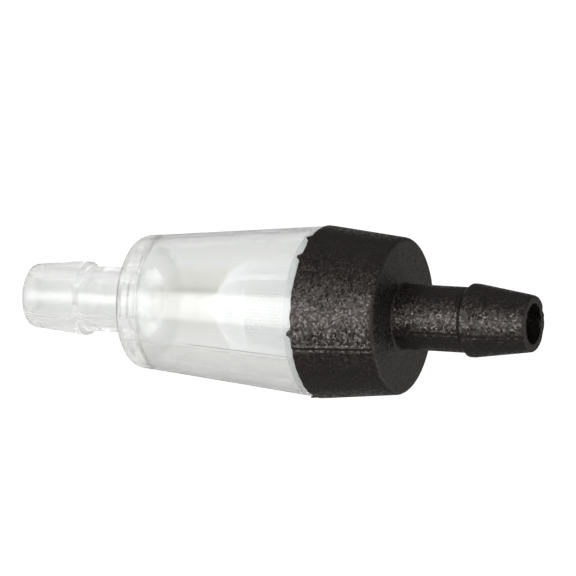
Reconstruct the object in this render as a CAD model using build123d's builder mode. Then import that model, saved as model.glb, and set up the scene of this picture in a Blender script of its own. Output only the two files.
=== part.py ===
"""Inline fuel filter for a small engine: a clear tapered housing with a hose barb, a black cap with a
second hose barb, and between them a moulded screen frame that carries a thimble of nylon gauze.

Fuel runs along +X: in through the clear barb, round the outside of the gauze, through it, and out
through the black cap.  The origin is on the flow axis, midway between the two barb tips.
"""

from build123d import *
import os

# ---------------------------------------------------------------- driving dimensions, in millimetres
overall_length = 60.5

# Clear housing
inlet_barb_length = 13.7       # barb tip to the end wall of the housing
inlet_nose_length = 6.3        # barb tip to the land of its ridge
inlet_tip_radius = 3.55
inlet_land_radius = 4.15
inlet_slope_length = 0.5       # slope behind the ridge, down to the tube
inlet_tube_radius = 3.65
inlet_bore_radius = 1.95
housing_length = 22.4          # end wall to the welded joint
housing_end_radius = 7.35
housing_rim_radius = 9.42
housing_wall = 1.25
housing_end_wall = 1.85
housing_corner = 0.6

# Black cap
outlet_barb_length = 15.25     # cap face to barb tip
outlet_nose_length = 6.6
outlet_tip_radius = 3.05
outlet_land_radius = 4.0
outlet_slope_length = 0.5
outlet_tube_radius = 3.56
outlet_bore_radius = 2.2
cap_rim_radius = 9.49
cap_shoulder_radius = 8.56
cap_wall = 1.55
cap_end_wall = 1.7
cap_corner = 0.35
spigot_length = 0.25           # ring that enters the housing and presses on the screen flange

# Both barbs
land_length = 0.5              # cylindrical land on which the hose seals
tip_round = 0.35
root_round = 0.3

# Screen frame and gauze
flange_radius = 8.55
flange_thickness = 0.9
seat_clearance = 0.06          # round the flange and the spigot, in the counterbore of the housing
gauze_length = 11.7            # flange to the crown of the dome
gauze_dome_length = 5.3
gauze_base_radius = 5.85       # outside of the gauze at the flange
gauze_shoulder_radius = 5.35   # outside of the gauze where the dome starts
gauze_thickness = 0.16
rib_count = 4
rib_width = 0.8
rib_depth = 0.55
collar_length = 1.3
nose_radius = 1.2
nose_proud = 0.2               # how far the nose button stands out of the gauze
nose_length = 1.4
gate_radius = 0.4
gate_height = 0.15

# ---------------------------------------------------------------- places along the flow axis
inlet_tip = -overall_length / 2
outlet_tip = overall_length / 2
housing_face = inlet_tip + inlet_barb_length
chamber_floor = housing_face + housing_end_wall
joint = housing_face + housing_length
cap_face = outlet_tip - outlet_barb_length
cap_floor = cap_face - cap_end_wall
flange_back = joint - spigot_length
flange_front = flange_back - flange_thickness
crown = flange_front - gauze_length
dome_start = crown + gauze_dome_length

# radii that follow from the ones above
seat_radius = flange_radius + seat_clearance
housing_slope = (housing_rim_radius - housing_end_radius) / housing_length
chamber_floor_radius = housing_end_radius + housing_slope * housing_end_wall - housing_wall
collar_radius = gauze_base_radius - gauze_thickness - rib_depth


def facing_left(x):
    """Plane across the flow axis at x, looking along -X."""
    return Plane(origin=(x, 0, 0), x_dir=(0, 1, 0), z_dir=(-1, 0, 0))


def facing_right(x):
    """Plane across the flow axis at x, looking along +X."""
    return Plane(origin=(x, 0, 0), x_dir=(0, 1, 0), z_dir=(1, 0, 0))


def circle_at(builder, x, radius):
    """The circular edge of a turned part that lies at x and has this radius."""
    return builder.edges().filter_by(
        lambda edge: edge.geom_type == GeomType.CIRCLE
        and abs(edge.radius - radius) < 1e-4
        and abs(edge.arc_center.X - x) < 1e-4
    )


# ---------------------------------------------------------------- clear housing with the inlet barb
inlet_land = inlet_tip + inlet_nose_length

with BuildPart() as inlet_housing:
    with BuildSketch(Plane.XZ):
        with BuildLine():
            Polyline(
                (inlet_tip, 0),
                (inlet_tip, inlet_tip_radius),
                (inlet_land, inlet_land_radius),
                (inlet_land + land_length, inlet_land_radius),
                (inlet_land + land_length + inlet_slope_length, inlet_tube_radius),
                (housing_face, inlet_tube_radius),
                (housing_face, housing_end_radius),
                (joint, housing_rim_radius),
                (joint, 0),
                close=True,
            )
        make_face()
    revolve(axis=Axis.X)
    fillet(circle_at(inlet_housing, inlet_tip, inlet_tip_radius), tip_round)
    fillet(circle_at(inlet_housing, housing_face, inlet_tube_radius), root_round)
    fillet(circle_at(inlet_housing, housing_face, housing_end_radius), housing_corner)
    # tapered chamber, open at the joint
    with BuildSketch(Plane.XZ):
        with BuildLine():
            Polyline(
                (chamber_floor, 0),
                (chamber_floor, chamber_floor_radius),
                (joint, housing_rim_radius - housing_wall),
                (joint, 0),
                close=True,
            )
        make_face()
    revolve(axis=Axis.X, mode=Mode.SUBTRACT)
    # counterbore for the screen flange
    with Locations(facing_right(joint)):
        Hole(radius=seat_radius, depth=joint - flange_front)
    # bore of the barb, through the end wall
    with Locations(facing_left(inlet_tip)):
        Hole(radius=inlet_bore_radius, depth=chamber_floor - inlet_tip)
inlet_housing.part.label = "inlet_housing"

# ---------------------------------------------------------------- black cap with the outlet barb
outlet_land = outlet_tip - outlet_nose_length

with BuildPart() as outlet_cap:
    with BuildSketch(Plane.XZ):
        with BuildLine():
            Polyline(
                (outlet_tip, 0),
                (outlet_tip, outlet_tip_radius),
                (outlet_land, outlet_land_radius),
                (outlet_land - land_length, outlet_land_radius),
                (outlet_land - land_length - outlet_slope_length, outlet_tube_radius),
                (cap_face, outlet_tube_radius),
                (cap_face, cap_shoulder_radius),
                (joint, cap_rim_radius),
                (joint, flange_radius),
                (flange_back, flange_radius),
                (flange_back, 0),
                close=True,
            )
        make_face()
    revolve(axis=Axis.X)
    fillet(circle_at(outlet_cap, outlet_tip, outlet_tip_radius), tip_round)
    fillet(circle_at(outlet_cap, cap_face, outlet_tube_radius), root_round)
    fillet(circle_at(outlet_cap, cap_face, cap_shoulder_radius), cap_corner)
    # tapered hollow, open towards the screen
    with BuildSketch(Plane.XZ):
        with BuildLine():
            Polyline(
                (flange_back, 0),
                (flange_back, cap_rim_radius - cap_wall),
                (cap_floor, cap_shoulder_radius - cap_wall),
                (cap_floor, 0),
                close=True,
            )
        make_face()
    revolve(axis=Axis.X, mode=Mode.SUBTRACT)
    # bore of the barb, through the end wall
    with Locations(facing_right(outlet_tip)):
        Hole(radius=outlet_bore_radius, depth=outlet_tip - cap_floor)
outlet_cap.part.label = "outlet_cap"


# ---------------------------------------------------------------- screen
def thimble(inset):
    """Solid thimble that stands on the flange: a straight taper with half an ellipse for its dome.

    Its surface lies inset within the outside of the gauze.
    """
    base = (flange_front, gauze_base_radius - inset)
    shoulder = (dome_start, gauze_shoulder_radius - inset)
    tip = (crown + inset, 0)
    with BuildPart() as solid:
        with BuildSketch(Plane.XZ):
            with BuildLine():
                Line((flange_front, 0), base)
                Line(base, shoulder)
                EllipticalCenterArc(
                    (dome_start, 0),
                    gauze_dome_length - inset,
                    gauze_shoulder_radius - inset,
                    90,
                    arc_size=90,
                )
                Line(tip, (flange_front, 0))
            make_face()
        revolve(axis=Axis.X)
    return solid.part


# gauze: an open-ended thimble of one thickness, with a hole where the nose button grips it
with BuildPart() as screen_gauze:
    add(thimble(0))
    add(thimble(gauze_thickness), mode=Mode.SUBTRACT)
    with Locations(facing_left(crown)):
        Hole(radius=nose_radius, depth=gauze_dome_length)
screen_gauze.part.label = "screen_gauze"

# what is left of the frame inside the gauze: a collar at the flange and ribs that cross at the nose
with BuildPart() as frame_envelope:
    with BuildSketch(Plane.YZ.offset(crown)):
        with PolarLocations(0, rib_count // 2, angular_range=180, start_angle=45):
            Rectangle(2 * gauze_base_radius, rib_width)
    extrude(amount=gauze_length)
    with BuildSketch(Plane.YZ.offset(flange_front)):
        Circle(gauze_base_radius)
    extrude(amount=-collar_length)

# frame: cage of ribs, flange that the cap clamps on its seat, and nose button with its gate mark
with BuildPart() as screen_frame:
    add(thimble(gauze_thickness))
    add(thimble(gauze_thickness + rib_depth), mode=Mode.SUBTRACT)
    add(frame_envelope.part, mode=Mode.INTERSECT)
    with BuildSketch(Plane.YZ.offset(flange_front)):
        Circle(flange_radius)
        Circle(collar_radius, mode=Mode.SUBTRACT)
    extrude(amount=flange_thickness)
    with BuildSketch(Plane.YZ.offset(crown - nose_proud)):
        Circle(nose_radius)
    extrude(amount=nose_length)
    with BuildSketch(Plane.YZ.offset(crown - nose_proud)):
        Circle(gate_radius)
    extrude(amount=-gate_height)
screen_frame.part.label = "screen_frame"

# ---------------------------------------------------------------- one STEP file for each piece
os.makedirs("parts", exist_ok=True)
export_step(inlet_housing.part, "parts/inlet_housing.step")
export_step(outlet_cap.part, "parts/outlet_cap.step")
export_step(screen_gauze.part, "parts/screen_gauze.step")
export_step(screen_frame.part, "parts/screen_frame.step")
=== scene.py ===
import math

import bmesh
import bpy
from mathutils import Matrix, Vector, noise


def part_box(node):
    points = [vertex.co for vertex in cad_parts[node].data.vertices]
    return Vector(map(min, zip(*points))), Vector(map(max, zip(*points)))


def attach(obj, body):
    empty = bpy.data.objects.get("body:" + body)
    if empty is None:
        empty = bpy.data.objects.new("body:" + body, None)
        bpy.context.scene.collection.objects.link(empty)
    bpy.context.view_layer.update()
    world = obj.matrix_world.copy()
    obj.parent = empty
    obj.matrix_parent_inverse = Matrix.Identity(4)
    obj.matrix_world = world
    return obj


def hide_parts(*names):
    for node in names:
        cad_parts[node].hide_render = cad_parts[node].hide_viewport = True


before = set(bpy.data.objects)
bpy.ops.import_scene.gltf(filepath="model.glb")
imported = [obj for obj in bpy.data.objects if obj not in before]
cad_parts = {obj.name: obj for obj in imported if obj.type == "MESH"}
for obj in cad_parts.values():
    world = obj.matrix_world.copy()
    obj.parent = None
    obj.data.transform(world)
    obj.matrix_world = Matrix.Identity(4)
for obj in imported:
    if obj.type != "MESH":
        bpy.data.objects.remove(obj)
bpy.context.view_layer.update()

# ------------------------------------------------------------------ clear housing
# The clear half of the filter: a tapered cup with a hose barb on its closed end. It is injection
# moulded in one piece from clear styrene-acrylonitrile in a two-part tool, which leaves a fine
# parting line along each side, and it is spin-welded to the black cap at its rim.
MM = 0.001  # sizes are in millimetres, and Blender's are in metres

housing_low, housing_high = (Vector(corner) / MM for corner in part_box("inlet_housing"))
inlet_tip = housing_low.x
joint = housing_high.x
flange_back = (Vector(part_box("screen_frame")[1]) / MM).x
inlet_nose_length = 6.3
inlet_barb_length = 13.7
land_length = 0.5
slope_length = 0.5
housing_end_wall = 1.85
flange_thickness = 0.9
inlet_land = inlet_tip + inlet_nose_length
housing_face = inlet_tip + inlet_barb_length
chamber_floor = housing_face + housing_end_wall
flange_front = flange_back - flange_thickness

inlet_bore_radius = 1.95
inlet_tip_radius = 3.55
inlet_land_radius = 4.15
inlet_tube_radius = 3.65
housing_end_radius = 7.35
housing_rim_radius = -housing_low.z
housing_wall = 1.25
taper_along_seat = 0.106
seat_radius = 8.61
chamber_mouth_radius = housing_rim_radius - housing_wall - taper_along_seat
chamber_floor_radius = 6.27

# Parting lines. A fin stands on the skin outside these radii, up to the rim that the weld melts.
housing_seams = [math.radians(28), math.radians(208)]
housing_fin_height = 0.035
housing_fin_width = 0.09
barb_skin_radius = 2.9
cup_skin_radius = 6.9
melted_rim = 0.3


def rounded(corners, steps=6):
    """Outline through corners given as (x, r), or as (x, r, round) for one with a rounded edge."""
    outline = []
    for i, corner in enumerate(corners):
        here = Vector(corner[:2])
        if len(corner) == 2:
            outline.append(here)
            continue
        before = (Vector(corners[i - 1][:2]) - here).normalized()
        after = (Vector(corners[(i + 1) % len(corners)][:2]) - here).normalized()
        half = before.angle(after) / 2
        centre = here + (before + after).normalized() * corner[2] / math.sin(half)
        start = here + before * corner[2] / math.tan(half) - centre
        sweep = math.copysign(math.pi - 2 * half, before.y * after.x - before.x * after.y)
        for step in range(steps + 1):
            outline.append(centre + Matrix.Rotation(sweep * step / steps, 2) @ start)
    return outline


def finer(outline, longest):
    """The same closed outline with no step longer than this, so that a finish can follow it."""
    points = []
    for i, a in enumerate(outline):
        b = outline[(i + 1) % len(outline)]
        parts = max(1, math.ceil((b - a).length / longest))
        points += [a.lerp(b, part / parts) for part in range(parts)]
    return points


def spokes(count, seams):
    """Angles round the flow axis: evenly spaced, with more of them beside each parting line."""
    gaps = (0.005, 0.011, 0.02, 0.035)
    clear_of_seam = 0.042
    angles = {
        round((seam + side * gap) % math.tau, 5)
        for seam in seams for gap in gaps for side in (-1, 0, 1)
    }
    for i in range(count):
        angle = math.tau * i / count
        if all(abs(math.remainder(angle - seam, math.tau)) > clear_of_seam for seam in seams):
            angles.add(round(angle, 5))
    return sorted(angles)


def turned(name, outline, angles, finish):
    """Turns a closed outline of (x, r) points, in millimetres, about the flow axis.

    finish(x, r, angle) gives each point's place after what moulding and welding do to it.
    """
    sharpest_smooth_edge = math.radians(32)
    bm = bmesh.new()
    rings = []
    for angle in angles:
        ring = []
        for point in outline:
            x, r = finish(point.x, point.y, angle)
            ring.append(bm.verts.new(Vector((x, r * math.cos(angle), r * math.sin(angle))) * MM))
        rings.append(ring)
    for ring, following in zip(rings, rings[1:] + rings[:1]):
        for i in range(len(outline)):
            j = (i + 1) % len(outline)
            bm.faces.new((ring[i], ring[j], following[j], following[i]))
    bmesh.ops.recalc_face_normals(bm, faces=bm.faces)
    for face in bm.faces:
        face.smooth = True
    for edge in bm.edges:
        edge.smooth = edge.calc_face_angle(0) < sharpest_smooth_edge
    mesh = bpy.data.meshes.new(name)
    bm.to_mesh(mesh)
    bm.free()
    piece = bpy.data.objects.new(name, mesh)
    bpy.context.scene.collection.objects.link(piece)
    return piece


def off_seam(angle, r, seams):
    """How far round the part a point lies from the nearest parting line."""
    return min(abs(math.remainder(angle - seam, math.tau)) for seam in seams) * r


def fin(angle, r, seams, width):
    """How much of a parting line's fin stands at this angle, from 0 to 1, for a fin this wide."""
    return math.exp(-((off_seam(angle, r, seams) / width) ** 2))


def moulded_clear(x, r, angle):
    """Clear moulding: a fine fin along each side of the barb and the cup, short of its melted rim.

    The cup's inner wall has a groove as deep as the fin where its radius is over cup_skin_radius.
    """
    on_barb = r > barb_skin_radius and x < housing_face + 0.1
    on_cup = r > cup_skin_radius and x < joint - melted_rim
    if on_barb or on_cup:
        r += housing_fin_height * fin(angle, r, housing_seams, housing_fin_width)
    return x, r


# The third number of a corner is the radius that its edge is rounded with.
housing_corners = [
    (inlet_tip, inlet_bore_radius, 0.2),
    (inlet_tip, inlet_tip_radius, 0.5),
    (inlet_land, inlet_land_radius, 0.2),
    (inlet_land + land_length, inlet_land_radius, 0.12),
    (inlet_land + land_length + slope_length, inlet_tube_radius, 0.2),
    (housing_face, inlet_tube_radius, 0.3),
    (housing_face, housing_end_radius, 0.6),
    (joint, housing_rim_radius),
    (joint, seat_radius),
    (flange_front, seat_radius),
    (flange_front, chamber_mouth_radius),
    (chamber_floor, chamber_floor_radius, 0.9),
    (chamber_floor, inlet_bore_radius, 0.35),
]
housing = turned(
    "clear_housing",
    finer(rounded(housing_corners), longest=0.8),
    spokes(256, housing_seams),
    moulded_clear,
)


def colour(hex_code):
    """Linear colour of an sRGB hex code."""
    channels = [int(hex_code[i:i + 2], 16) / 255 for i in (1, 3, 5)]
    return [c / 12.92 if c <= 0.04045 else ((c + 0.055) / 1.055) ** 2.4 for c in channels] + [1]


def add_node(tree, kind, inputs=None, **settings):
    """Adds a node with its settings, and gives its inputs their values or their links.

    An input is linked when it is given a socket, or a node, whose first output then feeds it.
    """
    node = tree.nodes.new(kind)
    for setting, value in settings.items():
        setattr(node, setting, value)
    for socket, value in (inputs or {}).items():
        if isinstance(value, bpy.types.Node):
            value = value.outputs[0]
        if isinstance(value, bpy.types.NodeSocket):
            tree.links.new(value, node.inputs[socket])
        else:
            node.inputs[socket].default_value = value
    return node


def new_material(name):
    """A material with an empty tree, and that tree."""
    material = bpy.data.materials.new(name)
    material.use_nodes = True
    material.node_tree.nodes.clear()
    return material, material.node_tree


# Clear styrene-acrylonitrile, moulded in a polished tool. The skin is glossy, but a little wavy
# where the part shrank from the steel, and the resin has a faint milky haze. The eye gets a bright
# pale wall that shows what is behind it softly, more softly through the thick barb.
shrink_spacing = 5 * MM
shrink_depth = 0.1 * MM
barb_tint = "#F5F6F5"
corner_painted_shade = "#93938F"
clear_tint = "#FBFCFB"

# Tints round the cup, at degrees round the flow axis from -Y by way of -Z: the near parting line is
# at 28.
# Those from 146 to 216, on the far wall, are painted shade that dims the softbox's band mirrored
# there, and the darkest, at 184 to 189, is a painted reflection of the dark bar above the softbox.
streak_and_shade_tints = {
    27.5: clear_tint, 28.0: "#F0F0EF", 29.5: "#F4F4F2", 62.0: "#F2F2F0", 75.0: clear_tint,
    130.0: clear_tint, 146.0: "#F3F2EE", 164.0: "#EFEEE9", 183.0: "#EDECE7", 184.4: "#C6C5BD",
    188.6: "#D0CFC7", 191.5: "#F0EEE8", 205.0: "#F2F0E9", 216.0: clear_tint,
}

clear_resin, resin_tree = new_material("styrene_acrylonitrile_moulded_clear")
resin_point = add_node(resin_tree, "ShaderNodeTexCoord").outputs["Object"]
shrinkage = add_node(resin_tree, "ShaderNodeTexNoise", {
    "Vector": resin_point, "Scale": 1 / shrink_spacing, "Detail": 2.0,
})
wavy = add_node(resin_tree, "ShaderNodeBump", {
    "Height": shrinkage.outputs["Fac"], "Strength": 0.2, "Distance": shrink_depth,
})

across = add_node(resin_tree, "ShaderNodeSeparateXYZ", {0: resin_point}).outputs
angle_round = add_node(resin_tree, "ShaderNodeMath", {
    0: across["Z"], 1: across["Y"],
}, operation="ARCTAN2")
part_of_turn = add_node(resin_tree, "ShaderNodeMath", {
    0: angle_round, 1: 1 / math.tau, 2: 0.5,
}, operation="MULTIPLY_ADD")
# The tints above: painted shade on the far wall, and the streaks round the cup.
streaks_and_painted_shade = add_node(resin_tree, "ShaderNodeValToRGB", {"Fac": part_of_turn})
stops = streaks_and_painted_shade.color_ramp.elements
for end in (stops[0], stops[1]):
    end.color = colour(clear_tint)
for degrees, tint in streak_and_shade_tints.items():
    stops.new(degrees / 360).color = colour(tint)

# The barb has its own tint, with only a quarter of the streaks and painted shade.
toward_cup = add_node(resin_tree, "ShaderNodeMapRange", {
    "Value": across["X"],
    "From Min": (housing_face - 1.0) * MM, "From Max": (housing_face + 1.0) * MM,
    "To Min": 0.25, "To Max": 1.0,
}, interpolation_type="SMOOTHSTEP")
tinted = add_node(resin_tree, "ShaderNodeMix", {
    "Factor": toward_cup, "A": colour(barb_tint), "B": streaks_and_painted_shade,
}, data_type="RGBA")

# Painted shade: the rounded corner of the end wall is painted grey, for the dark edge that light
# grazing the thick corner gives.
across_corner = add_node(resin_tree, "ShaderNodeMapRange", {
    "Value": across["X"],
    "From Min": housing_face * MM, "From Max": (housing_face + 0.4) * MM,
    "To Min": 0.0, "To Max": math.pi,
})
corner_shade_mask = add_node(resin_tree, "ShaderNodeMath", {0: across_corner}, operation="SINE")
with_corner_shade = add_node(resin_tree, "ShaderNodeMix", {
    "Factor": corner_shade_mask, "A": tinted.outputs["Result"], "B": colour(corner_painted_shade),
}, data_type="RGBA")

# The haze of the barb is stronger than that of the cup. In the soft light of the studio the skin
# mirrors only faintly, so its specular level is well below the usual 0.5.
haze = add_node(resin_tree, "ShaderNodeMapRange", {
    "Value": across["X"],
    "From Min": (housing_face - 1.5) * MM, "From Max": (housing_face + 0.5) * MM,
    "To Min": 0.24, "To Max": 0.15,
}, interpolation_type="SMOOTHSTEP")
resin_skin = add_node(resin_tree, "ShaderNodeBsdfPrincipled", {
    "Base Color": with_corner_shade.outputs["Result"],
    "Roughness": haze,
    "IOR": 1.57,
    "Specular IOR Level": 0.13,
    "Transmission Weight": 0.95,
    "Normal": wavy,
})
add_node(resin_tree, "ShaderNodeOutputMaterial", {"Surface": resin_skin})
housing.data.materials.append(clear_resin)
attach(housing, "root")
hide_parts("inlet_housing")

# ------------------------------------------------------------------ black cap
# The black half: a short tapered cap with the second hose barb. It is moulded in black nylon 66 in
# a spark-eroded two-part tool, which leaves a matte grain, a parting line along each side where the
# halves don't quite meet, and, at the spin-welded rim, a little flash.
cap_low, cap_high = (Vector(corner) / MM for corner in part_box("outlet_cap"))
outlet_tip = cap_high.x
outlet_nose_length = 6.6
outlet_barb_length = 15.25
cap_end_wall = 1.7
outlet_land = outlet_tip - outlet_nose_length
cap_face = outlet_tip - outlet_barb_length
cap_floor = cap_face - cap_end_wall

outlet_bore_radius = 2.2
outlet_tip_radius = 3.05
outlet_land_radius = 4.0
outlet_tube_radius = 3.56
cap_shoulder_radius = 8.56
cap_rim_radius = -cap_low.z
cap_mouth_radius = 7.94
cap_floor_radius = 7.01
spigot_radius = 8.55

# Parting lines. Fin, step and crease have these sizes at the full radius, and less further in.
# They run along the skin outside these radii, and the fin also crosses the cap's face.
cap_seams = [math.radians(17), math.radians(197)]
full_radius = 9.5
cap_skin_radius = 8.3
outlet_skin_radius = 2.75
face_inner_radius = 3.7
cap_fin_height = 0.08
cap_fin_unevenness = 0.1
cap_fin_width = 0.12
notch_spacing = 0.45
fin_on_face = 0.03
tool_step = 0.1
tool_step_reach = 1.5
crease_depth = 0.09
crease_width = 0.16
crease_from_fin = 0.34

# Flash at the weld: a torn lip all round, with a few nubs where more of the melt came out.
lip_root_radius = 9.43
lip_radius = 9
lip_length = 0.1
lip_unevenness = 0.12
nubs = [math.radians(degrees) for degrees in (22, 63, 116, 135, 188, 252, 312)]
nub_length = 0.42
nub_height = 0.12
nub_width = 0.3
nub_fullness = 1.5  # above 1, so that its top is flat

# The outlet's mouth is trimmed, which leaves its rim uneven by as much as this.
mouth_radius = 2.6
mouth_unevenness = 0.2


def uneven(along, radius, angle):
    """Noise from -1 to 1 that varies over about 1 mm, along the axis and round this radius."""
    return noise.noise(Vector((along, radius * math.cos(angle), radius * math.sin(angle))))


def moulded_black(x, r, angle):
    """Black moulding: what the parting lines, the weld and the trimmed mouth do to a point."""
    line = fin(angle, r, cap_seams, cap_fin_width)
    on_face = (
        cap_face - 0.05 < x < cap_face + 0.2 and face_inner_radius < r < cap_skin_radius
    )
    outside = r > cap_skin_radius or (x > cap_face and r > outlet_skin_radius)
    if on_face:
        x += fin_on_face * line
    elif outside:
        # the last coordinate gives each side its own notches
        notches = noise.noise(Vector((x / notch_spacing, r, 7 * math.cos(angle))))
        ridge = (cap_fin_height + cap_fin_unevenness * notches) * line * (r / full_radius)
        step = tool_step * math.exp(-off_seam(angle, r, cap_seams) / tool_step_reach)
        r += (ridge + step) * (r / full_radius)
        crease = fin(angle - crease_from_fin / r, r, cap_seams, crease_width)
        r -= crease_depth * crease * (r / full_radius)

    if x < joint + 0.06 and r > lip_root_radius - 0.01:
        nub = min(1, nub_fullness * fin(angle, cap_rim_radius, nubs, nub_width))
        x -= lip_length + lip_unevenness * uneven(0, lip_radius, angle) + nub_length * nub
        r += nub_height * nub

    if x > outlet_tip - 0.3:
        x -= mouth_unevenness * abs(uneven(r / 2, mouth_radius, angle))

    # no burr stands out of the square that just holds the rim
    return x, min(r, cap_rim_radius / max(abs(math.cos(angle)), abs(math.sin(angle))))


cap_corners = [
    (flange_back, cap_mouth_radius),
    (cap_floor, cap_floor_radius, 0.4),
    (cap_floor, outlet_bore_radius, 0.2),
    (outlet_tip, outlet_bore_radius, 0.1),
    (outlet_tip, outlet_tip_radius, 0.25),
    (outlet_land, outlet_land_radius, 0.2),
    (outlet_land - land_length, outlet_land_radius, 0.12),
    (outlet_land - land_length - slope_length, outlet_tube_radius, 0.15),
    (cap_face, outlet_tube_radius, 0.3),
    (cap_face, cap_shoulder_radius, 0.5),
    (joint, cap_rim_radius),
    (joint, lip_root_radius),
    (joint, spigot_radius),
    (flange_back, spigot_radius),
]
cap = turned(
    "black_cap",
    finer(rounded(cap_corners), longest=0.5),
    spokes(480, cap_seams),
    moulded_black,
)

# Black nylon 66 from a spark-eroded tool, which prints craters about 0.1 mm across. They are drawn
# here as flat facets 0.22 mm across, each tilted its own way, so that they show. The eye gets a
# dark, slightly warm matte skin that sparkles where it mirrors a light. Nylon's index is 1.53, and
# it is higher here because the facets scatter much of what a smooth skin would mirror.
crater_size = 0.22 * MM
crater_tilt = 0.44
black_nylon, nylon_tree = new_material("nylon_66_moulded_spark_eroded")
skin_point = add_node(nylon_tree, "ShaderNodeTexCoord").outputs["Object"]
craters = add_node(nylon_tree, "ShaderNodeTexVoronoi", {
    "Vector": skin_point, "Scale": 1 / crater_size,
}).outputs
tilt = add_node(nylon_tree, "ShaderNodeVectorMath", {
    0: craters["Color"], 1: (0.5, 0.5, 0.5),
}, operation="SUBTRACT")
from_middle = add_node(nylon_tree, "ShaderNodeVectorMath", {
    0: skin_point, 1: craters["Position"],
}, operation="SUBTRACT")
facet = add_node(nylon_tree, "ShaderNodeVectorMath", {
    0: tilt, 1: from_middle,
}, operation="DOT_PRODUCT")
pitted = add_node(nylon_tree, "ShaderNodeBump", {
    "Height": facet.outputs["Value"], "Strength": 1.0, "Distance": crater_tilt,
})
polish = add_node(nylon_tree, "ShaderNodeMapRange", {
    "Value": craters["Color"],
    "From Min": 0.2, "From Max": 0.8, "To Min": 0.32, "To Max": 0.64,
})
nylon_skin = add_node(nylon_tree, "ShaderNodeBsdfPrincipled", {
    "Base Color": colour("#0F0C0A"),
    "Roughness": polish,
    "IOR": 1.7,
    "Specular IOR Level": 1.0,
    "Specular Tint": colour("#FFF3EC"),
    "Normal": pitted,
})
add_node(nylon_tree, "ShaderNodeOutputMaterial", {"Surface": nylon_skin})
cap.data.materials.append(black_nylon)
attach(cap, "root")
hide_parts("outlet_cap")

# ------------------------------------------------------------------ screen frame
# One nylon moulding: a flange that is clamped between the two halves, a collar, four ribs and a
# nose button. It keeps the CAD piece's shape, and gets its finish here.

# Natural nylon 6 has no pigment and is milky. Light goes most of a millimetre into it, so the eye
# gets a soft white that glows, on a skin that is a little uneven along the flow of the melt. The
# flange is painted grey: painted shade where the black cap keeps light from behind it.
frame_tint = "#FAFBFC"
flange_painted_shade = "#BFC2C3"
flow_spacing = 1.5 * MM
flow_depth = 0.05 * MM
light_depth = 0.8 * MM
natural_nylon, frame_tree = new_material("nylon_6_moulded_natural")
frame_point = add_node(frame_tree, "ShaderNodeTexCoord").outputs["Object"]
flow = add_node(frame_tree, "ShaderNodeTexNoise", {
    "Vector": frame_point, "Scale": 1 / flow_spacing, "Detail": 2.0,
})
flow_lines = add_node(frame_tree, "ShaderNodeBump", {
    "Height": flow.outputs["Fac"], "Strength": 0.3, "Distance": flow_depth,
})
# Painted shade on the flange, over its last half millimetre.
flange_shade_mask = add_node(frame_tree, "ShaderNodeMapRange", {
    "Value": add_node(frame_tree, "ShaderNodeSeparateXYZ", {0: frame_point}).outputs["X"],
    "From Min": (flange_front - 0.5) * MM, "From Max": flange_front * MM,
})
flange_shaded = add_node(frame_tree, "ShaderNodeMix", {
    "Factor": flange_shade_mask, "A": colour(frame_tint), "B": colour(flange_painted_shade),
}, data_type="RGBA")
frame_skin = add_node(frame_tree, "ShaderNodeBsdfPrincipled", {
    "Base Color": flange_shaded.outputs["Result"],
    "Roughness": 0.35,
    "IOR": 1.53,
    "Subsurface Weight": 1.0,
    "Subsurface Radius": [1.0, 1.0, 1.0],
    "Subsurface Scale": light_depth,
    "Normal": flow_lines,
})
add_node(frame_tree, "ShaderNodeOutputMaterial", {"Surface": frame_skin})
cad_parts["screen_frame"].data.materials.clear()
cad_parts["screen_frame"].data.materials.append(natural_nylon)

# ------------------------------------------------------------------ gauze
# The filter cloth: plain-woven nylon monofilament, a rolled sleeve closed by a domed disc that is
# welded to its end. The frame is moulded round it. Real threads are about 0.08 mm thick and 0.2 mm
# apart; they are drawn coarser here, so that the weave shows.
thread_radius = 0.065
thread_pitch = 0.36
crimp = 0.75 * thread_radius
cloth_middle = thread_radius + crimp
bead_radius = 0.09
nose_hole_radius = 1.0
sleeve_taper = 0.5
samples_per_crossing = 2

gauze_low, gauze_high = (Vector(corner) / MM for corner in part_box("screen_gauze"))
gauze_base_radius = gauze_high.z
gauze_shoulder_radius = gauze_base_radius - sleeve_taper
dome_length = 5.3
dome_start = gauze_low.x + dome_length

dome_steps = 32
dome = [
    Vector((
        dome_start - (dome_length - cloth_middle) * math.cos(math.pi / 2 * step / dome_steps),
        (gauze_shoulder_radius - cloth_middle) * math.sin(math.pi / 2 * step / dome_steps),
    ))
    for step in range(dome_steps + 1)
]
sleeve_end = Vector((flange_front, gauze_base_radius - cloth_middle))
dome_arc = sum((b - a).length for a, b in zip(dome, dome[1:]))
sleeve_length = (sleeve_end - dome[-1]).length
sleeve_round = math.pi * (dome[-1].y + sleeve_end.y)
dome_threads = 2 * round(dome_arc / thread_pitch) + 1

gauze_sizes = {
    "Round Threads": 2 * round(sleeve_round / thread_pitch / 2),
    "Rings": round(sleeve_length / thread_pitch) + 1,
    "Dome Threads": dome_threads,
    "Pitch": dome_arc * MM * 2 / (dome_threads - 1),
    "Dome Arc": dome_arc * MM,
    "Sleeve Length": sleeve_length * MM,
    "Hole Radius": nose_hole_radius * MM,
    "Thread Radius": thread_radius * MM,
    "Crimp": crimp * MM,
    "Bead Radius": bead_radius * MM,
    "Shoulder Radius": (gauze_shoulder_radius - cloth_middle) * MM,
    "Shoulder Place": dome_start * MM,
}

weave = bpy.data.node_groups.new("plain_weave", "GeometryNodeTree")
weave.interface.new_socket("Outline", in_out="INPUT", socket_type="NodeSocketGeometry")
for size, value in gauze_sizes.items():
    kind = "NodeSocketInt" if isinstance(value, int) else "NodeSocketFloat"
    weave.interface.new_socket(size, in_out="INPUT", socket_type=kind)
weave.interface.new_socket("Gauze", in_out="OUTPUT", socket_type="NodeSocketGeometry")
given = add_node(weave, "NodeGroupInput").outputs
outline_curve = add_node(weave, "GeometryNodeMeshToCurve", {"Mesh": given["Outline"]})

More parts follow.
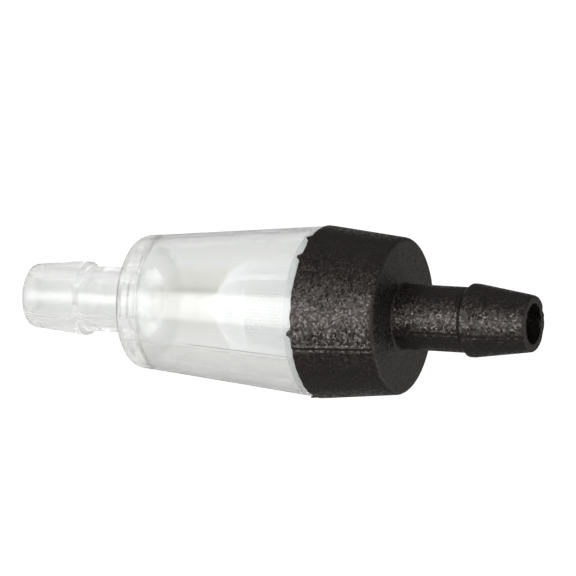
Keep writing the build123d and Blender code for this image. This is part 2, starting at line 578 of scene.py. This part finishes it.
last_ring = add_node(weave, "ShaderNodeMath", {0: given["Rings"], 1: 1.0}, operation="SUBTRACT")
last_dome_thread = add_node(weave, "ShaderNodeMath", {
    0: given["Dome Threads"], 1: 1.0,
}, operation="SUBTRACT")
dome_middle = add_node(weave, "ShaderNodeMath", {
    0: last_dome_thread, 1: 0.5,
}, operation="MULTIPLY")
round_step = add_node(weave, "ShaderNodeMath", {
    0: math.tau, 1: given["Round Threads"],
}, operation="DIVIDE")
ring_step = add_node(weave, "ShaderNodeMath", {
    0: given["Sleeve Length"], 1: last_ring,
}, operation="DIVIDE")


def up_the_sleeve(crossing, number):
    """Along the filter's axis, crossing every ring."""
    angle = add_node(weave, "ShaderNodeMath", {0: number, 1: round_step}, operation="MULTIPLY")
    length = add_node(weave, "ShaderNodeMath", {
        0: crossing, 1: ring_step, 2: given["Dome Arc"],
    }, operation="MULTIPLY_ADD")
    return angle, length


def round_the_sleeve(crossing, number):
    """A ring round the axis, crossing every thread that runs along it."""
    angle = add_node(weave, "ShaderNodeMath", {0: crossing, 1: round_step}, operation="MULTIPLY")
    length = add_node(weave, "ShaderNodeMath", {
        0: number, 1: ring_step, 2: given["Dome Arc"],
    }, operation="MULTIPLY_ADD")
    return angle, length


def over_the_dome(crossing, number):
    """Straight across the disc, which the dome is pressed from."""
    across = add_node(weave, "ShaderNodeMath", {0: crossing, 1: dome_middle}, operation="SUBTRACT")
    beside = add_node(weave, "ShaderNodeMath", {0: number, 1: dome_middle}, operation="SUBTRACT")
    angle = add_node(weave, "ShaderNodeMath", {0: beside, 1: across}, operation="ARCTAN2")
    beside_squared = add_node(weave, "ShaderNodeMath", {0: beside, 1: 2.0}, operation="POWER")
    squares = add_node(weave, "ShaderNodeMath", {
        0: across, 1: across, 2: beside_squared,
    }, operation="MULTIPLY_ADD")
    pitches_out = add_node(weave, "ShaderNodeMath", {0: squares}, operation="SQRT")
    length = add_node(weave, "ShaderNodeMath", {
        0: pitches_out, 1: given["Pitch"],
    }, operation="MULTIPLY")
    return angle, length


def down_the_dome(crossing, number):
    """The same at right angles."""
    angle, length = over_the_dome(crossing, number)
    turned_angle = add_node(weave, "ShaderNodeMath", {
        0: math.pi / 2, 1: angle,
    }, operation="SUBTRACT")
    return turned_angle, length


def laid(crossings, count, route, limit, over):
    """Threads laid on the outline as it turns: count of them, each with this many crossings.

    route gives a sample's angle and its length along the outline from the numbers of its crossing
    and its thread. Past limit, and in the nose's hole, the thread is cut. over is 1.0 for threads
    that start over the ones they cross, and -1.0 for threads that start under them.
    """
    # each thread is a row of a grid that keeps only its lengthways edges
    last_sample = add_node(weave, "ShaderNodeMath", {
        0: crossings, 1: samples_per_crossing,
    }, operation="MULTIPLY")
    samples = add_node(weave, "ShaderNodeMath", {0: last_sample, 1: 1.0}, operation="ADD")
    last_thread = add_node(weave, "ShaderNodeMath", {0: count, 1: 1.0}, operation="SUBTRACT")
    grid = add_node(weave, "GeometryNodeMeshGrid", {
        "Size X": last_sample, "Size Y": last_thread, "Vertices X": samples, "Vertices Y": count,
    })
    ends = add_node(weave, "GeometryNodeInputMeshEdgeVertices").outputs
    run = add_node(weave, "ShaderNodeVectorMath", {
        0: ends["Position 1"], 1: ends["Position 2"],
    }, operation="SUBTRACT")
    sideways = add_node(weave, "ShaderNodeMath", {
        0: add_node(weave, "ShaderNodeSeparateXYZ", {0: run}).outputs["Y"],
    }, operation="ABSOLUTE")
    between_rows = add_node(weave, "ShaderNodeMath", {
        0: sideways, 1: 0.5,
    }, operation="GREATER_THAN")
    rows = add_node(weave, "GeometryNodeDeleteGeometry", {
        "Geometry": grid, "Selection": between_rows,
    }, domain="EDGE", mode="EDGE_FACE")

    # the grid is centred, so half its size gives the numbers of a point's sample and thread
    place = add_node(weave, "ShaderNodeSeparateXYZ", {
        0: add_node(weave, "GeometryNodeInputPosition"),
    }).outputs
    sample = add_node(weave, "ShaderNodeMath", {
        0: last_sample, 1: 0.5, 2: place["X"],
    }, operation="MULTIPLY_ADD")
    number = add_node(weave, "ShaderNodeMath", {
        0: last_thread, 1: 0.5, 2: place["Y"],
    }, operation="MULTIPLY_ADD")
    crossing = add_node(weave, "ShaderNodeMath", {
        0: sample, 1: 1 / samples_per_crossing,
    }, operation="MULTIPLY")
    angle, length = route(crossing, number)
    past_limit = add_node(weave, "ShaderNodeMath", {
        0: length, 1: limit,
    }, operation="GREATER_THAN")
    in_hole = add_node(weave, "ShaderNodeMath", {
        0: length, 1: given["Hole Radius"],
    }, operation="LESS_THAN")
    kept = add_node(weave, "GeometryNodeDeleteGeometry", {
        "Geometry": rows,
        "Selection": add_node(weave, "ShaderNodeMath", {
            0: past_limit, 1: in_hole,
        }, operation="ADD"),
    }, domain="POINT")

    # over one thread and under the next: a cosine along the outline's normal
    on_outline = add_node(weave, "GeometryNodeSampleCurve", {
        "Curves": outline_curve, "Length": length,
    }, mode="LENGTH").outputs
    tangent = add_node(weave, "ShaderNodeSeparateXYZ", {0: on_outline["Tangent"]}).outputs
    outward = add_node(weave, "ShaderNodeCombineXYZ", {
        "X": add_node(weave, "ShaderNodeMath", {
            0: tangent["Z"], 1: -1.0,
        }, operation="MULTIPLY"),
        "Z": tangent["X"],
    })
    both_numbers = add_node(weave, "ShaderNodeMath", {0: crossing, 1: number}, operation="ADD")
    phase = add_node(weave, "ShaderNodeMath", {0: both_numbers, 1: math.pi}, operation="MULTIPLY")
    wave = add_node(weave, "ShaderNodeMath", {0: phase}, operation="COSINE")
    signed_wave = add_node(weave, "ShaderNodeMath", {0: wave, 1: over}, operation="MULTIPLY")
    height = add_node(weave, "ShaderNodeMath", {
        0: signed_wave, 1: given["Crimp"],
    }, operation="MULTIPLY")
    lift = add_node(weave, "ShaderNodeVectorMath", {
        0: outward, "Scale": height,
    }, operation="SCALE")
    woven = add_node(weave, "ShaderNodeVectorMath", {
        0: on_outline["Position"], 1: lift,
    }, operation="ADD")
    swung = add_node(weave, "ShaderNodeVectorRotate", {
        "Vector": woven, "Angle": angle,
    }, rotation_type="X_AXIS")
    return add_node(weave, "GeometryNodeSetPosition", {"Geometry": kept, "Position": swung})


sleeve_limit = 1.0  # in metres, so that nothing of the sleeve is cut
thread_sets = [
    (last_ring, given["Round Threads"], up_the_sleeve, sleeve_limit, 1.0),
    (given["Round Threads"], given["Rings"], round_the_sleeve, sleeve_limit, -1.0),
    (last_dome_thread, given["Dome Threads"], over_the_dome, given["Dome Arc"], 1.0),
    (last_dome_thread, given["Dome Threads"], down_the_dome, given["Dome Arc"], -1.0),
]
lines = add_node(weave, "GeometryNodeJoinGeometry")
for thread_set in thread_sets:
    weave.links.new(laid(*thread_set).outputs[0], lines.inputs[0])
closed = add_node(weave, "GeometryNodeMergeByDistance", {
    "Geometry": lines, "Distance": 0.002 * MM,
})
tubes = add_node(weave, "GeometryNodeCurveToMesh", {
    "Curve": add_node(weave, "GeometryNodeMeshToCurve", {"Mesh": closed}),
    "Profile Curve": add_node(weave, "GeometryNodeCurvePrimitiveCircle", {
        "Resolution": 5, "Radius": given["Thread Radius"],
    }),
    "Fill Caps": True,
})

# Fused thread ends at the shoulder, where the disc is welded to the sleeve.
shoulder = add_node(weave, "GeometryNodeTransform", {
    "Geometry": add_node(weave, "GeometryNodeCurvePrimitiveCircle", {
        "Resolution": 96, "Radius": given["Shoulder Radius"],
    }),
    "Translation": add_node(weave, "ShaderNodeCombineXYZ", {"X": given["Shoulder Place"]}),
    "Rotation": (0, math.pi / 2, 0),
})
bead = add_node(weave, "GeometryNodeCurveToMesh", {
    "Curve": shoulder,
    "Profile Curve": add_node(weave, "GeometryNodeCurvePrimitiveCircle", {
        "Resolution": 8, "Radius": given["Bead Radius"],
    }),
})
welded = add_node(weave, "GeometryNodeJoinGeometry")
for cloth_part in (tubes, bead):
    weave.links.new(cloth_part.outputs[0], welded.inputs[0])
smooth = add_node(weave, "GeometryNodeSetShadeSmooth", {"Geometry": welded})

# Nylon 6 monofilament is drawn through a die, so each thread is smooth and clear like fishing line.
# Many of them together are a bright, slightly blue veil that glows when it is lit from behind.
monofilament, thread_tree = new_material("nylon_6_monofilament_drawn")
thread_skin = add_node(thread_tree, "ShaderNodeBsdfPrincipled", {
    "Base Color": colour("#FEFEFF"),
    "Roughness": 0.35,
    "IOR": 1.53,
    "Transmission Weight": 0.15,
})
add_node(thread_tree, "ShaderNodeOutputMaterial", {"Surface": thread_skin})

realized = add_node(weave, "GeometryNodeRealizeInstances", {"Geometry": smooth})
finished = add_node(weave, "GeometryNodeSetMaterial", {
    "Geometry": realized, "Material": monofilament,
})
add_node(weave, "NodeGroupOutput", {"Gauze": finished})

outline_mesh = bpy.data.meshes.new("gauze_outline")
outline_mesh.from_pydata(
    [(point.x * MM, 0, point.y * MM) for point in dome + [sleeve_end]],
    [(step, step + 1) for step in range(len(dome))],
    [],
)
host = bpy.data.objects.new("gauze_outline", outline_mesh)
bpy.context.scene.collection.objects.link(host)
modifier = host.modifiers.new("plain_weave", "NODES")
modifier.node_group = weave
for socket in weave.interface.items_tree:
    if socket.name in gauze_sizes:
        modifier[socket.identifier] = gauze_sizes[socket.name]
evaluated = host.evaluated_get(bpy.context.evaluated_depsgraph_get())
gauze = bpy.data.objects.new("woven_gauze", bpy.data.meshes.new_from_object(evaluated))
bpy.data.objects.remove(host)
bpy.context.scene.collection.objects.link(gauze)
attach(gauze, "root")
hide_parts("screen_gauze")

# ------------------------------------------------------------------ studio
# A white tent: all that is seen round and through the filter is white, and what its skin mirrors is
# dimmer, with a dark bar across it overhead. One large softbox stands beside the camera.
scene = bpy.context.scene
scene.view_settings.view_transform = "Standard"

# Light crosses many clear walls and threads on its way, and none of it may be lost or blurred.
scene.cycles.max_bounces = 32
scene.cycles.glossy_bounces = 32
scene.cycles.transmission_bounces = 32
scene.cycles.blur_glossy = 0.0

# Matte white paper, lit evenly enough to show no edge. Only the camera sees it.
floor_drop = 60
bpy.ops.mesh.primitive_plane_add(size=4, location=(0, 0, -floor_drop * MM))
floor = bpy.context.object
floor.name = "floor"
floor_paper, paper_tree = new_material("white_paper_sweep")
paper_skin = add_node(paper_tree, "ShaderNodeBsdfPrincipled", {
    "Base Color": colour("#FFFFFF"),
    "Roughness": 0.9,
    "Emission Color": colour("#FFFFFF"),
    "Emission Strength": 1.0,
})
add_node(paper_tree, "ShaderNodeOutputMaterial", {"Surface": paper_skin})
floor.data.materials.append(floor_paper)
floor.visible_diffuse = False
floor.visible_glossy = False
floor.visible_transmission = False

azimuth = math.radians(24.97)
elevation = math.radians(7.14)
toward_camera = Vector((
    math.sin(azimuth) * math.cos(elevation),
    -math.cos(azimuth) * math.cos(elevation),
    math.sin(elevation),
))
up = Vector((0, 0, 1))

# The tent's brightness depends on what reaches it: light that came through the filter, a mirrored
# ray, or the camera's own view. Sampled as a lamp, it would be taken for one brightness.
tent = bpy.data.worlds.new("tent")
scene.world = tent
tent.use_nodes = True
tent.cycles.sampling_method = "NONE"
tent_tree = tent.node_tree
tent_tree.nodes.clear()
direction = add_node(tent_tree, "ShaderNodeTexCoord").outputs["Generated"]
rays = add_node(tent_tree, "ShaderNodeLightPath").outputs


def brightness(axis, cosines, values):
    """Goes smoothly between two values as the direction's cosine with an axis goes between two."""
    facing = add_node(tent_tree, "ShaderNodeVectorMath", {
        0: direction, 1: axis,
    }, operation="DOT_PRODUCT")
    return add_node(tent_tree, "ShaderNodeMapRange", {
        "Value": facing.outputs["Value"],
        "From Min": cosines[0], "From Max": cosines[1],
        "To Min": values[0], "To Max": values[1],
    }, interpolation_type="SMOOTHSTEP")


# Seen through the filter: a little darker straight behind it, and brighter overhead.
through = add_node(tent_tree, "ShaderNodeMath", {
    0: brightness(-toward_camera, (-0.3, 0.6), (1.1, 0.84)),
    1: brightness(up, (0.0, 0.8), (1.0, 1.18)),
}, operation="MULTIPLY")

# Mirrored by its skin: a dim tent, black along the bar, with three brighter patches.
above_bar = brightness(up, (0.5, 0.56), (0.0, 1.0))
below_bar = brightness(up, (0.34, 0.38), (1.0, 0.0))
beside_bar = add_node(tent_tree, "ShaderNodeMath", {
    0: above_bar, 1: below_bar,
}, operation="MAXIMUM")
mirrored = add_node(tent_tree, "ShaderNodeMath", {
    0: beside_bar, 1: brightness(-toward_camera, (0.2, 0.8), (0.1, 0.15)),
}, operation="MULTIPLY")
patches = [
    (Vector((0.8, -0.6, 0.0)), 0.55),
    (Vector((0.75, 0.45, -0.35)), 0.45),
    (-toward_camera, 0.25),
]
for patch, fill in patches:
    mirrored = add_node(tent_tree, "ShaderNodeMath", {
        0: mirrored, 1: brightness(patch.normalized(), (0.85, 0.93), (0.0, fill)),
    }, operation="ADD")

seen_through = add_node(tent_tree, "ShaderNodeMath", {
    0: through, 1: rays["Is Transmission Ray"],
}, operation="MULTIPLY")
not_through = add_node(tent_tree, "ShaderNodeMath", {
    0: 1.0, 1: rays["Is Transmission Ray"],
}, operation="SUBTRACT")
seen_mirrored = add_node(tent_tree, "ShaderNodeMath", {
    0: mirrored, 1: not_through,
}, operation="MULTIPLY")
seen = add_node(tent_tree, "ShaderNodeMath", {0: seen_through, 1: seen_mirrored}, operation="ADD")
sky = add_node(tent_tree, "ShaderNodeBackground", {
    "Color": colour("#FFFFFF"),
    "Strength": add_node(tent_tree, "ShaderNodeMath", {
        0: seen, 1: rays["Is Camera Ray"],
    }, operation="MAXIMUM"),
})
add_node(tent_tree, "ShaderNodeOutputWorld", {"Surface": sky})

toward_softbox = Vector((-0.31, -0.93, 0.043)).normalized()
softbox_distance = 0.6
softbox_data = bpy.data.lights.new("key", "AREA")
softbox_data.shape = "RECTANGLE"
softbox_data.size = 0.6
softbox_data.size_y = 0.4
softbox_data.energy = 2.3
softbox = bpy.data.objects.new("key", softbox_data)
scene.collection.objects.link(softbox)
softbox.location = toward_softbox * softbox_distance
softbox.rotation_euler = toward_softbox.to_track_quat("Z", "Y").to_euler()

# The camera stands half a metre off with a long lens. These are in millimetres too.
view_distance = 500.0
view_width = 63.3
view_middle = Vector((0.565, 0, 0))
camera_data = bpy.data.cameras.new("camera")
camera_data.lens = camera_data.sensor_width * view_distance / view_width
camera_data.shift_x = 0.0081
camera_data.shift_y = 0.037
camera = bpy.data.objects.new("camera", camera_data)
scene.collection.objects.link(camera)
camera.location = (view_middle + toward_camera * view_distance) * MM
camera.rotation_euler = toward_camera.to_track_quat("Z", "Y").to_euler()
scene.camera = camera
